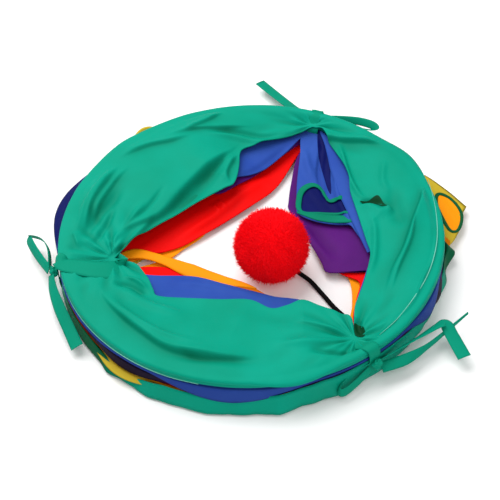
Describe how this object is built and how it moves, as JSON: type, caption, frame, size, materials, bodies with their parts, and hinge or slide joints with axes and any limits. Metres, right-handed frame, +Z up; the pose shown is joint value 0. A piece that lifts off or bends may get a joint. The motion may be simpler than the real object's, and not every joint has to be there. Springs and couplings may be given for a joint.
{
  "type": "pet play tunnel",
  "caption": "Collapsible fabric tunnel for small pets, pressed flat over its sprung hoops and tied, with bound peepholes and a fur ball on an elastic cord.",
  "frame": {"origin": "on the common axis of the hoops, at the height of the floor that the folded tunnel lies on", "axes": "+Z up along the axis of the hoops, the way the tunnel opens; +X to the right and +Y away from the usual viewer, with the ball in the front half of the middle opening"},
  "size_m": [0.3025, 0.3021, 0.05],
  "materials": {
    "spring_steel": "blued spring wire",
    "ferrule_brass": "pressed ferrule",
    "green_fabric": "thin plain-weave polyester with a soft sheen",
    "blue_fabric": "thin plain-weave polyester with a soft sheen",
    "purple_fabric": "thin plain-weave polyester with a soft sheen",
    "red_fabric": "thin plain-weave polyester with a soft sheen",
    "orange_fabric": "thin plain-weave polyester with a soft sheen",
    "yellow_fabric": "thin plain-weave polyester with a soft sheen",
    "binding_tape": "folded bias tape with a row of stitches",
    "tie_ribbon": "narrow folded ribbon with stitched edges",
    "red_fur": "dense short fur",
    "black_elastic": "braided cover over rubber"
  },
  "bodies": {
    "bottom_hoop": {"hoop_wire_8": "spring_steel", "wire_ferrule_8": "ferrule_brass", "hoop_casing_8": "green_fabric", "panel_green_bottom": "green_fabric", "tie_lower_left": "tie_ribbon", "tie_lower_back": "tie_ribbon", "tie_lower_front": "tie_ribbon", "elastic_anchor": "black_elastic"},
    "hoop_seven": {"hoop_wire_7": "spring_steel", "wire_ferrule_7": "ferrule_brass", "hoop_casing_7": "yellow_fabric"},
    "hoop_six": {"hoop_wire_6": "spring_steel", "wire_ferrule_6": "ferrule_brass", "hoop_casing_6": "orange_fabric", "panel_yellow": "yellow_fabric", "peephole_binding_yellow": "binding_tape"},
    "hoop_five": {"hoop_wire_5": "spring_steel", "wire_ferrule_5": "ferrule_brass", "hoop_casing_5": "red_fabric", "panel_orange": "orange_fabric"},
    "hoop_four": {"hoop_wire_4": "spring_steel", "wire_ferrule_4": "ferrule_brass", "hoop_casing_4": "purple_fabric", "panel_red": "red_fabric"},
    "hoop_three": {"hoop_wire_3": "spring_steel", "wire_ferrule_3": "ferrule_brass", "hoop_casing_3": "blue_fabric", "panel_purple": "purple_fabric"},
    "hoop_two": {"hoop_wire_2": "spring_steel", "wire_ferrule_2": "ferrule_brass", "hoop_casing_2": "green_fabric", "panel_blue": "blue_fabric", "peephole_binding_blue": "binding_tape"},
    "top_hoop": {"hoop_wire_1": "spring_steel", "wire_ferrule_1": "ferrule_brass", "hoop_casing_1": "green_fabric", "panel_green_top": "green_fabric", "tie_upper_left": "tie_ribbon", "tie_upper_back": "tie_ribbon", "tie_upper_front": "tie_ribbon", "knot_left": "tie_ribbon", "knot_back": "tie_ribbon", "knot_front": "tie_ribbon", "bow_left": "tie_ribbon", "bow_back": "tie_ribbon", "bow_front": "tie_ribbon"},
    "dangler": {"pompom": "red_fur", "elastic_knot": "black_elastic", "elastic": "black_elastic"}
  },
  "joints": [
    {"name": "open_hoop_seven", "type": "slide", "parent": "bottom_hoop", "child": "hoop_seven", "axis": [0, 0, 1], "range_m": [0, 0.12]},
    {"name": "open_hoop_six", "type": "slide", "parent": "hoop_seven", "child": "hoop_six", "axis": [0, 0, 1], "range_m": [0, 0.12]},
    {"name": "open_hoop_five", "type": "slide", "parent": "hoop_six", "child": "hoop_five", "axis": [0, 0, 1], "range_m": [0, 0.12]},
    {"name": "open_hoop_four", "type": "slide", "parent": "hoop_five", "child": "hoop_four", "axis": [0, 0, 1], "range_m": [0, 0.12]},
    {"name": "open_hoop_three", "type": "slide", "parent": "hoop_four", "child": "hoop_three", "axis": [0, 0, 1], "range_m": [0, 0.12]},
    {"name": "open_hoop_two", "type": "slide", "parent": "hoop_three", "child": "hoop_two", "axis": [0, 0, 1], "range_m": [0, 0.12]},
    {"name": "open_top_hoop", "type": "slide", "parent": "hoop_two", "child": "top_hoop", "axis": [0, 0, 1], "range_m": [0, 0.12]},
    {"name": "lift_pompom", "type": "hinge", "parent": "bottom_hoop", "child": "dangler", "pos_m": [0.056, -0.06, 0.0017], "axis": [0.6991, 0.7151, 0], "range_deg": [0, 70]}
  ],
  "couplings": [
    {"joint": "open_hoop_six", "follows": "open_hoop_seven", "ratio": 1},
    {"joint": "open_hoop_five", "follows": "open_hoop_seven", "ratio": 1},
    {"joint": "open_hoop_four", "follows": "open_hoop_seven", "ratio": 1},
    {"joint": "open_hoop_three", "follows": "open_hoop_seven", "ratio": 1},
    {"joint": "open_hoop_two", "follows": "open_hoop_seven", "ratio": 1},
    {"joint": "open_top_hoop", "follows": "open_hoop_seven", "ratio": 1}
  ]
}
